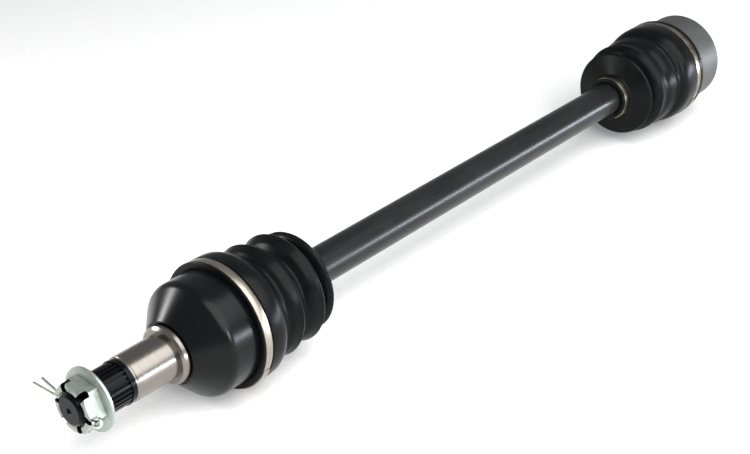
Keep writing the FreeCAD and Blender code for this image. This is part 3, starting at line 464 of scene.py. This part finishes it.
def cup_steel(colors):
    """Machined and phosphated cup: plain dark grey with round tool lines; its toothed stub is blacker."""
    material = new_material("phosphated_cup_steel")
    place = millimetres(material)
    along = put(material, "ShaderNodeSeparateXYZ", {"Vector": place}).outputs["X"]
    stub_end, fade = CUP_TIP + CUP_STUB_LENGTH, 0.2
    stub = put(material, "ShaderNodeMapRange", {"Value": along, "From Min": stub_end - fade,
                                                "From Max": stub_end + fade, "To Min": 1.0, "To Max": 0.0})
    cloud = put(material, "ShaderNodeTexNoise", {"Vector": place, "Scale": 0.07, "Detail": 5.0})
    tint = put(material, "ShaderNodeValToRGB", {"Fac": cloud.outputs["Fac"]},
               stops=[(0.3, opaque(colors.cup_steel)), (0.75, linear("525251"))])
    color = put(material, "ShaderNodeMix", {"Factor": stub.outputs["Result"], "A": tint.outputs["Color"],
                                            "B": opaque(colors.black_oxide)}, data_type="RGBA")
    rings = put(material, "ShaderNodeTexNoise", {"Vector": millimetres(material, (2.5, 0.02, 0.02)),
                                                 "Scale": 1.0, "Detail": 3.0})
    rough = put(material, "ShaderNodeMapRange", {"Value": rings.outputs["Fac"], "From Min": 0.3,
                                                 "From Max": 0.7, "To Min": 0.46, "To Max": 0.56})
    bump = put(material, "ShaderNodeBump", {"Height": rings.outputs["Fac"], "Strength": 0.1,
                                            "Distance": 0.05 * MM})
    return close_surface(material, Base_Color=color.outputs["Result"], Metallic=0.45,
                         Roughness=rough.outputs["Result"], Normal=bump.outputs["Normal"])


def plain_metal(name, color, roughness, size):
    """One metal for mostly hidden hardware: tone and gloss change softly over a size in millimetres."""
    material = new_material(name)
    grain = put(material, "ShaderNodeTexNoise", {"Vector": millimetres(material), "Scale": 1 / size,
                                                 "Detail": 4.0})
    darker = opaque(c * 0.8 for c in linear(color)[:3])
    tint = put(material, "ShaderNodeValToRGB", {"Fac": grain.outputs["Fac"]},
               stops=[(0.3, darker), (0.7, linear(color))])
    rough = put(material, "ShaderNodeMapRange", {"Value": grain.outputs["Fac"], "From Min": 0.3,
                                                 "From Max": 0.7, "To Min": roughness * 0.8,
                                                 "To Max": roughness * 1.2})
    return close_surface(material, Base_Color=tint.outputs["Color"], Metallic=1.0,
                         Roughness=rough.outputs["Result"])


def studio_paper(colors):
    """Seamless matt paper under the axle, with a faint tooth."""
    material = new_material("matt_studio_paper")
    tooth = put(material, "ShaderNodeTexNoise", {"Vector": millimetres(material), "Scale": 0.4,
                                                 "Detail": 3.0})
    tint = put(material, "ShaderNodeValToRGB", {"Fac": tooth.outputs["Fac"]},
               stops=[(0.3, linear("F4F4F3")), (0.7, opaque(colors.paper))])
    return close_surface(material, Base_Color=tint.outputs["Color"], Roughness=0.9)


# ---------------------------------------------------------------- settings
def color_setting(name, description, code):
    return FloatVectorProperty(name=name, description=description, default=linear(code)[:3],
                               subtype="COLOR", size=3, min=0.0, max=1.0)


def length_setting(name, description, value):
    return FloatProperty(name=name, description=description, default=value * MM, unit="LENGTH",
                         subtype="DISTANCE", min=0.0, precision=4)


def power_setting(name, description, value):
    return FloatProperty(name=name, description=description, default=value, min=0.0, unit="POWER")


class AxleColors(bpy.types.PropertyGroup):
    """Colours of the axle's finishes."""
    bell_coat: color_setting("Bell coat", "Satin black epoxy on the bell", "0B0C0D")
    bar_coat: color_setting("Bar coat", "Black powder coat on the bar", "131415")
    boot_rubber: color_setting("Boot rubber", "Moulded rubber of both boots", "08090A")
    ground_steel: color_setting("Ground steel", "Bearing journal and shoulder", "85807A")
    black_oxide: color_setting("Black oxide", "Splines and thread", "0E0F12")
    band_steel: color_setting("Band steel", "Stainless strip of the clamps", "AAA398")
    zinc: color_setting("Zinc", "Plating of the hub nut", "A4ACA5")
    cup_steel: color_setting("Cup steel", "Phosphated steel of the inner cup", "484847")
    paper: color_setting("Paper", "Studio floor", "FBFBFA")


class AxleBootSizes(bpy.types.PropertyGroup):
    """Sizes of the rubber boots."""
    wall: length_setting("Wall", "Wall measured square to the axle", 3.2)
    inner_wall: length_setting("Inner boot wall", "Thinner wall, which leaves the leaning bar room", 2.5)
    lip_height: length_setting("Lip height", "Depth of the seat that a band lies in", 1.1)
    valley_half: length_setting("Valley half width", "Half the flat at the foot of a valley", 1.0)
    crest_half: length_setting("Crest half width", "Half the width over which a crest rounds over", 1.5)
    steps: IntProperty(name="Steps", description="Faces round a boot", default=160, min=24, max=360)


class AxleHardwareSizes(bpy.types.PropertyGroup):
    """Sizes of the nut, the cotter pin, the thread and the bands."""
    thread_pitch: length_setting("Thread pitch", "Pitch of the stub's thread", 1.5)
    nut_edge: length_setting("Nut edge", "Rounding asked of the nut's edges, which stay sharp", 0.35)
    band_edge: length_setting("Band edge", "Rounding of the bands' edges", 0.22)
    lap_thickness: length_setting("Lap thickness", "Second layer where a band's end laps over it", 0.75)
    wire_radius: length_setting("Wire radius", "Half thickness of the cotter pin's wire", 0.92)
    short_leg: length_setting("Short leg", "Length of the pin's shorter leg", 16.5)


class AxleStageSizes(bpy.types.PropertyGroup):
    """Floor, lights and camera."""
    floor_size: length_setting("Floor size", "Side of the paper floor", 9000)
    lens: FloatProperty(name="Lens", description="Focal length on a 36 mm wide sensor", default=68.843,
                        min=10, max=400, subtype="DISTANCE_CAMERA")
    key_power: power_setting("Key power", "Overhead softbox", 42.0)
    panel_power: power_setting("Panel power", "Small panel in front of the bell", 6.0)
    side_power: power_setting("Side power", "Upright strip behind the hub", 1.3)
    strip_power: power_setting("Strip power", "Low strip light", 20.0)


# ---------------------------------------------------------------- operators
class AXLE_OT_hub(bpy.types.Operator):
    """Finish the hub forging and cut its thread"""
    bl_idname = "axle.hub"
    bl_label = "Hub forging"

    def execute(self, context):
        colors, sizes = context.scene.axle_colors, context.scene.axle_hardware
        forging = hub_forging(colors)
        wear("outer_housing", forging)
        pitch = sizes.thread_pitch / MM
        mesh = bmesh.new()
        ring = [mesh.verts.new(((THREAD_START + pitch * share) * MM, 0, radius * MM)) for share, radius in (
            (0, THREAD_ROOT), (0.42, THREAD_CREST), (0.58, THREAD_CREST), (1, THREAD_ROOT))]
        for here, there in zip(ring, ring[1:] + ring[:1]):
            mesh.edges.new((here, there))
        steps = 64
        bmesh.ops.spin(mesh, geom=mesh.verts[:] + mesh.edges[:], cent=(0, 0, 0), axis=(1, 0, 0),
                       dvec=(pitch * MM / steps, 0, 0), angle=math.tau * THREAD_TURNS,
                       steps=int(steps * THREAD_TURNS), use_duplicate=False)
        bmesh.ops.holes_fill(mesh, edges=[e for e in mesh.edges if e.is_boundary], sides=0)
        bmesh.ops.recalc_face_normals(mesh, faces=mesh.faces[:])
        thread = to_piece("hub_thread", mesh, forging, sharp=25)
        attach(thread, "outer_cup")
        return {"FINISHED"}


def turned_nut_part(name, outline):
    return to_piece(name, lathe(outline, steps=96), None)


class AXLE_OT_nut(bpy.types.Operator):
    """Build the slotted hub nut with its flange"""
    bl_idname = "axle.nut"
    bl_label = "Hub nut"

    def execute(self, context):
        colors, sizes = context.scene.axle_colors, context.scene.axle_hardware
        zinc = zinc_plate_and_painted_slot_shade(colors)
        seat, front = NUT_LOW.x, NUT_HIGH.x
        across, bore, flange = 30.0, 10.02, 20.9
        corner = across / 2 / math.cos(math.radians(30))
        chamfer, flange_top, past_flange = front - 1.9, seat + 3.4, 60.0
        # hexagon: a six-sided drum, then trimmed by a turned form that chamfers its corners
        mesh = bmesh.new()
        bmesh.ops.create_cone(mesh, cap_ends=True, segments=6, radius1=corner * MM, radius2=corner * MM,
                              depth=(front - seat) * MM,
                              matrix=Matrix.Translation(((seat + front) / 2 * MM, 0, 0))
                              @ Matrix.Rotation(math.radians(90), 4, "Y"))
        nut = to_piece("hub_castle_nut", mesh, zinc)
        trim = turned_nut_part("trim", [(seat, bore, 0), (seat, corner + 1, 0), (chamfer, corner + 1, 0),
                                        (chamfer, corner + 0.02, 0), (front, corner - 2.4, 0),
                                        (front, bore + 2.0, 0), (front - 2.0, bore, 0)])
        boolean(nut, [trim], "INTERSECT")
        skirt = turned_nut_part("skirt", [(seat, bore, 0), (seat, flange, 0.3), (seat + 1.9, flange, 0.5),
                                          (flange_top, corner - 0.6, 0), (flange_top, bore, 0)])
        boolean(nut, [skirt], "UNION")
        bars = []
        for index in range(3):
            mesh = bmesh.new()
            turn = Matrix.Rotation(math.radians(60 * index), 4, "X")
            size = Matrix.Diagonal((2 * SLOT_DEPTH * MM, past_flange * MM, SLOT_WIDTH * MM, 1))
            bmesh.ops.create_cube(mesh, size=1.0, matrix=turn @ Matrix.Translation((front * MM, 0, 0)) @ size)
            bars.append(to_piece("slot_bar", mesh, None))
        boolean(nut, bars, "DIFFERENCE")
        # the cut mesh holds edges under a thousandth of a millimetre, and next to them the rounding is held
        # back almost to nothing: the nut's edges stay sharp
        soften(nut, sizes.nut_edge / MM, segments=2, angle=28)
        nut.data.transform(Matrix.Rotation(NUT_TURN, 4, "X"))
        nut.data.materials.clear()
        nut.data.materials.append(zinc)
        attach(nut, "outer_cup")
        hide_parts("castle_nut")
        return {"FINISHED"}


def sweep_wire(points, width, height):
    """A closed oval wire along points in the XY plane, made by moving and turning its ring along them."""
    path = [Vector(point) for point in points]
    frames = []
    for index, point in enumerate(path):
        ahead = (path[min(index + 1, len(path) - 1)] - path[max(index - 1, 0)]).normalized()
        turn = Matrix((Vector((-ahead.y, ahead.x, 0)), Vector((0, 0, 1)), ahead)).transposed()
        frames.append(Matrix.Translation(point) @ turn.to_4x4())
    mesh = bmesh.new()
    ring = bmesh.ops.create_circle(mesh, cap_ends=False, segments=14, radius=1.0,
                                   matrix=frames[0] @ Matrix.Diagonal((width, height, 1, 1)))["verts"]
    edges = list({edge for vert in ring for edge in vert.link_edges})
    for before, after in zip(frames, frames[1:]):
        made = bmesh.ops.extrude_edge_only(mesh, edges=edges)["geom"]
        edges = [item for item in made if isinstance(item, bmesh.types.BMEdge)]
        bmesh.ops.transform(mesh, matrix=after @ before.inverted(),
                            verts=[item for item in made if isinstance(item, bmesh.types.BMVert)])
    bmesh.ops.holes_fill(mesh, edges=[edge for edge in mesh.edges if edge.is_boundary], sides=0)
    bmesh.ops.scale(mesh, vec=(MM, MM, MM), verts=mesh.verts[:])
    bmesh.ops.recalc_face_normals(mesh, faces=mesh.faces[:])
    return mesh


class AXLE_OT_pin(bpy.types.Operator):
    """Bend the cotter pin from one oval wire"""
    bl_idname = "axle.pin"
    bl_label = "Cotter pin"

    def execute(self, context):
        sizes = context.scene.axle_hardware
        wire = sizes.wire_radius / MM
        breadth = wire * 1.7
        shank, eye, splay = 16.0, 2.6, math.radians(5)
        long_leg, short_leg = 20.0, sizes.short_leg / MM

        def leg(side, length):
            return [(side * (wire + length * share * math.sin(splay)), -(shank - 1 + length * share), 0)
                    for share in (1.0, 0.75, 0.5, 0.25, 0.08)]

        around = [(eye * math.cos(math.radians(a)), shank + eye + eye * math.sin(math.radians(a)), 0)
                  for a in range(-60, 241, 20)]
        down = [(wire, y, 0) for y in (-shank + 2, -8, 0, 8, shank - 0.4)]
        path = leg(1, long_leg) + down + around
        path += [(-x, y, 0) for x, y, _ in reversed(down)] + list(reversed(leg(-1, short_leg)))
        pin = to_piece("hub_cotter_pin", sweep_wire(path, wire, breadth), zinc_wire(), sharp=40)
        pin.data.transform(Matrix.Rotation(NUT_TURN, 4, "X") @ Matrix.Translation((PIN_PLACE * MM, 0, 0))
                           @ Matrix.Rotation(PIN_ROLL, 4, "Y"))
        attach(pin, "outer_cup")
        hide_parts("cotter_pin")
        return {"FINISHED"}


def fold_skin(mouth, side, cuff, folds, start, sizes):
    """Outside corners of a run of folds, with full, bulging flanks between the valleys and the crests.

    side is the way from the housing's mouth to the bar; the first flank leaves from start, an (x, radius).
    """
    corners = []
    x, radius = start
    # a crest's flat lies a shelf below its level, and carries a fine bead from the mould's parting line
    shelf, bead_half, bead = 0.45, 0.5, 0.42
    for run, depth in folds:
        place, level = mouth + side * run, cuff - depth
        dips = level < radius
        half = (sizes.valley_half if dips else sizes.crest_half) / MM
        foot, top = place - side * half, level if dips else level - shelf
        # the bulge stands nearer to the valley, and its rounding fits the shorter of its two neighbours
        share = 0.58 if dips else 0.42
        bulge = Vector((x + (foot - x) * share, min(radius, top) + abs(top - radius) * 0.64))
        room = min((bulge - Vector((x, radius))).length, (bulge - Vector((foot, top))).length)
        corners.append((bulge.x, bulge.y, round(min(2.0, 0.3 * room), 2)))
        if dips:
            corners += [(foot, level, 0.8), (place + side * half, level, 0.8)]
        else:
            corners += [(foot, top, 0.7), (place - side * bead_half, level, 0.15), (place, level + bead, 0.2),
                        (place + side * bead_half, level, 0.15), (place + side * half, top, 0.7)]
        x, radius = place + side * half, top
    return corners


def inner_skin(outside, wall):
    """The same corners one wall further in, in the other direction."""
    return [(x, radius - wall, rounding) for x, radius, rounding in reversed(outside)]


def small_cuff(end, start, side, height):
    """Outside corners of a cuff on the bar, from its open end inwards; side is the way to the folds."""
    outer = BAR_RADIUS + 4.3
    near, far = end + side * 2.2, end + side * 7.6
    return [(end, outer, 0.7), (near, outer, 0.3), (near, outer - height, 0.2), (far, outer - height, 0.2),
            (far, outer, 0.3), (start, outer, 1.2)]


def finish_boot(name, outline, rubber, steps):
    return to_piece(name, lathe(outline, steps), rubber, sharp=50)


class AXLE_OT_outer_boot(bpy.types.Operator):
    """Mould the wheel-end boot"""
    bl_idname = "axle.outer_boot"
    bl_label = "Outer boot"

    def execute(self, context):
        sizes = context.scene.axle_boots
        wall, height = sizes.wall / MM, sizes.lip_height / MM
        cuff, edge, bore = OUTER_CUFF_RADIUS, OUTER_BOOT_HIGH.x, BELL_RADIUS + HOUSING_GAP
        mouth = BELL_MOUTH
        # the band's seat, with a deeper groove beside it
        near, far, groove_end = edge - 1.5, edge - 7.1, edge - 8.1
        groove = cuff - height - 0.6
        outside = [(edge, cuff, 1.1), (near, cuff, 0.35), (near, cuff - height, 0.2), (far, groove, 0.2),
                   (groove_end, groove, 0.2), (groove_end, cuff - 0.1, 0.5), (mouth - 4.0, cuff - 0.4, 2.0)]
        # the cuff ends in an edge and drops steeply to the first valley
        brow, drop = (mouth - 8.0, cuff - 2.4), (mouth - 9.4, cuff - 7.0)
        body = [(*brow, 0.5), (*drop, 1.2)] + fold_skin(mouth, -1, cuff, OUTER_FOLDS, drop, sizes)[1:]
        end, start = OUTER_BOOT_LOW.x, mouth - 63.0
        small = list(reversed(small_cuff(end, start, 1, height)))
        inside = [(end, BAR_RADIUS + BAR_GAP, 0.2), (start, BAR_RADIUS + BAR_GAP, 0.6)]
        inside += inner_skin(body, wall) + [(mouth - MOUTH_GAP, brow[1] - wall, 0),
                                            (mouth - MOUTH_GAP, bore, 0), (edge, bore, 0.3)]
        boot = finish_boot("outer_boot_rubber", outside + body + small + inside,
                           boot_rubber(context.scene.axle_colors), sizes.steps)
        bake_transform(boot)
        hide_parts("outer_boot")
        return {"FINISHED"}


class AXLE_OT_inner_boot(bpy.types.Operator):
    """Mould the gearbox-end boot, in two lengths that meet in the bottom of a valley"""
    bl_idname = "axle.inner_boot"
    bl_label = "Inner boot"

    def execute(self, context):
        sizes = context.scene.axle_boots
        wall, height = sizes.inner_wall / MM, sizes.lip_height / MM
        cuff, edge, bore = INNER_CUFF_RADIUS, INNER_BOOT_LOW.x, CUP_RADIUS + HOUSING_GAP
        mouth = CUP_MOUTH
        run, depth = INNER_FOLDS[2]
        split, split_radius = mouth + run, cuff - depth
        foot = sizes.valley_half / MM
        rubber = boot_rubber(context.scene.axle_colors)
        # from the split valley to the bar
        end, start = INNER_BOOT_HIGH.x, mouth + 52.5
        folds = [(split, split_radius, 0), (split + foot, split_radius, 0.8)]
        folds += fold_skin(mouth, 1, cuff, INNER_FOLDS[3:], (split + foot, split_radius), sizes)
        outside = folds + list(reversed(small_cuff(end, start, -1, height)))
        inside = [(end, BAR_RADIUS + BAR_GAP, 0.2), (start, BAR_RADIUS + BAR_GAP, 0.6)]
        inside += inner_skin(folds, wall)
        near = finish_boot("inner_boot_rubber_bar_side", outside + inside, rubber, sizes.steps)
        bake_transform(near)
        # from the cup to the split valley
        seat_low, seat_high = edge + 4.8, edge + 10.3
        brow = (mouth - 2.5, cuff - 0.5)
        outside = [(edge, cuff, 1.1), (seat_low, cuff, 0.4), (seat_low, cuff - height, 0.2),
                   (seat_high, cuff - height, 0.2), (seat_high, cuff, 0.7), (mouth - 5.7, cuff, 1.0),
                   (*brow, 0.9)]
        folds = fold_skin(mouth, 1, cuff, INNER_FOLDS[:3], brow, sizes)[:-1]
        folds.append((split, split_radius, 0))
        inside = inner_skin(folds[1:], wall) + [(mouth + MOUTH_GAP, folds[1][1] - wall, 0),
                                                (mouth + MOUTH_GAP, bore, 0), (edge, bore, 0.3)]
        far = finish_boot("inner_boot_rubber_cup_side", outside + folds + inside, rubber, sizes.steps)
        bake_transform(far)
        for piece in (near, far):
            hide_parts("inner_boot")
        return {"FINISHED"}


def merged(whole, part):
    """Put one bmesh into another."""
    data = bpy.data.meshes.new("part")
    part.to_mesh(data)
    part.free()
    whole.from_mesh(data)
    bpy.data.meshes.remove(data)
    return whole


class AXLE_OT_bands(bpy.types.Operator):
    """Wrap the four steel bands round the boot cuffs"""
    bl_idname = "axle.bands"
    bl_label = "Boot bands"

    def execute(self, context):
        colors, sizes = context.scene.axle_colors, context.scene.axle_hardware
        bright = band_steel("rolled_stainless_strip", opaque(colors.band_steel), linear("958D81"))
        stained = band_steel("stained_stainless_strip", linear("A19889"), linear("655B50"))
        rounding = sizes.band_edge / MM
        for node, body in (("outer_large_clamp", "outer_cup"), ("outer_small_clamp", "shaft"),
                           ("inner_small_clamp", "shaft"), ("inner_large_clamp", "inner_cup")):
            low, high = span(node)
            top = high.z
            seat, sunk, lap_top = top - STRIP, top - LAP_SUNK, top + sizes.lap_thickness / MM
            lap_low, lap_high = low.x + LAP_INSET, high.x - LAP_INSET
            strip = lathe([(low.x, seat, 0), (high.x, seat, 0), (high.x, top, rounding),
                           (low.x, top, rounding)])
            lap = lathe([(lap_low, sunk, 0), (lap_high, sunk, 0), (lap_high, lap_top, rounding),
                         (lap_low, lap_top, rounding)], steps=LAP_STEPS, sweep=LAP_SWEEP, phase=LAP_PHASE)
            piece = to_piece(node.replace("clamp", "band"), merged(strip, lap),
                             stained if node.startswith("inner") else bright)
            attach(piece, body)
            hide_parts(node)
        return {"FINISHED"}


class AXLE_OT_bar(bpy.types.Operator):
    """Finish the bar"""
    bl_idname = "axle.bar"
    bl_label = "Bar"

    def execute(self, context):
        wear("center_shaft", coated_bar(context.scene.axle_colors))
        return {"FINISHED"}


class AXLE_OT_cup(bpy.types.Operator):
    """Finish the gearbox-end cup and its rings"""
    bl_idname = "axle.cup"
    bl_label = "Inner cup"

    def execute(self, context):
        wear("inner_housing", cup_steel(context.scene.axle_colors))
        spring = plain_metal("oil_quenched_spring_steel", "3C3F44", 0.34, 2.0)
        for node in ("gear_snap_ring", "inner_stop_ring", "inner_circlip", "outer_circlip"):
            wear(node, spring)
        return {"FINISHED"}


class AXLE_OT_ball_sets(bpy.types.Operator):
    """Finish the balls, cages and races inside both joints"""
    bl_idname = "axle.ball_sets"
    bl_label = "Ball sets"

    def execute(self, context):
        polished = plain_metal("polished_bearing_steel", "CFCFCF", 0.1, 6.0)
        hardened = plain_metal("hardened_and_ground_race_steel", "8A857C", 0.32, 3.0)
        phosphate = plain_metal("phosphated_cage_steel", "4A4B4A", 0.5, 1.5)
        for joint in ("outer", "inner"):
            wear(f"{joint}_race_star", hardened)
            wear(f"{joint}_cage", phosphate)
            for index in range(1, 7):
                wear(f"{joint}_ball_{index}", polished)
        return {"FINISHED"}


def softbox(name, place, aim, size, power, color):
    """A soft area light that the camera doesn't see."""
    light = bpy.data.lights.new(name, "AREA")
    light.shape = "RECTANGLE"
    light.size, light.size_y = size
    light.energy = power
    light.color = color[:3]
    lamp = bpy.data.objects.new(name, light)
    lamp.location = place
    lamp.rotation_mode = "QUATERNION"
    lamp.rotation_quaternion = (Vector(place) - Vector(aim)).to_track_quat("Z", "Y")
    lamp.visible_camera = False
    bpy.context.scene.collection.objects.link(lamp)


class AXLE_OT_stage(bpy.types.Operator):
    """Lay the floor and set the lights and the camera"""
    bl_idname = "axle.stage"
    bl_label = "Stage"

    def execute(self, context):
        scene, sizes = context.scene, context.scene.axle_stage
        mesh = bmesh.new()
        bmesh.ops.create_grid(mesh, x_segments=2, y_segments=2, size=sizes.floor_size / 2)
        floor_level = min(OUTER_BOOT_LOW.z, INNER_BOOT_LOW.z) * MM - FLOOR_GAP
        bmesh.ops.translate(mesh, verts=mesh.verts[:], vec=(FLOOR_CENTRE, 0, floor_level))
        floor = to_piece("paper_floor", mesh, studio_paper(scene.axle_colors))
        for name, place, aim, size, power, code in LIGHTS:
            softbox(name, place, aim, size, getattr(sizes, power), linear(code))
        world = bpy.data.worlds.new("studio_air")
        world.use_nodes = True
        air = world.node_tree.nodes["Background"]
        air.inputs["Color"].default_value = linear("E9EAEC")
        air.inputs["Strength"].default_value = 0.4
        scene.world = world
        scene.view_settings.view_transform = "Standard"
        camera = bpy.data.cameras.new("product_camera")
        camera.sensor_width = 36.0
        camera.lens = sizes.lens
        camera.shift_x, camera.shift_y = CAMERA_SHIFT
        camera.clip_start, camera.clip_end = 0.05, 30
        rig = bpy.data.objects.new("product_camera", camera)
        back = CAMERA_RIGHT.cross(CAMERA_UP)
        turn = Matrix((CAMERA_RIGHT, CAMERA_UP, back)).transposed().to_4x4()
        rig.matrix_world = Matrix.Translation(CAMERA_PLACE) @ turn
        scene.collection.objects.link(rig)
        scene.camera = rig
        return {"FINISHED"}


class AXLE_PT_looks(bpy.types.Panel):
    """Sizes, colours and steps of the axle"""
    bl_label = "CV Axle"
    bl_idname = "AXLE_PT_looks"
    bl_space_type = "VIEW_3D"
    bl_region_type = "UI"
    bl_category = "CV Axle"

    def draw(self, context):
        for group in ("axle_colors", "axle_boots", "axle_hardware", "axle_stage"):
            values = getattr(context.scene, group)
            box = self.layout.box()
            for name in values.__annotations__:
                box.prop(values, name)
        for step in STEPS:
            self.layout.operator(step.bl_idname)


GROUPS = {"axle_colors": AxleColors, "axle_boots": AxleBootSizes, "axle_hardware": AxleHardwareSizes,
          "axle_stage": AxleStageSizes}
STEPS = (AXLE_OT_hub, AXLE_OT_nut, AXLE_OT_pin, AXLE_OT_outer_boot, AXLE_OT_inner_boot, AXLE_OT_bands,
         AXLE_OT_bar, AXLE_OT_cup, AXLE_OT_ball_sets, AXLE_OT_stage)


def register():
    for group in GROUPS.values():
        bpy.utils.register_class(group)
    for name, group in GROUPS.items():
        setattr(bpy.types.Scene, name, PointerProperty(type=group))
    for step in (*STEPS, AXLE_PT_looks):
        bpy.utils.register_class(step)


def unregister():
    for step in (AXLE_PT_looks, *reversed(STEPS)):
        bpy.utils.unregister_class(step)
    for name, group in GROUPS.items():
        delattr(bpy.types.Scene, name)
        bpy.utils.unregister_class(group)


def main():
    register()
    for step in STEPS:
        action = getattr(bpy.ops.axle, step.bl_idname.split(".")[1])
        action()


if __name__ == "__main__":
    main()
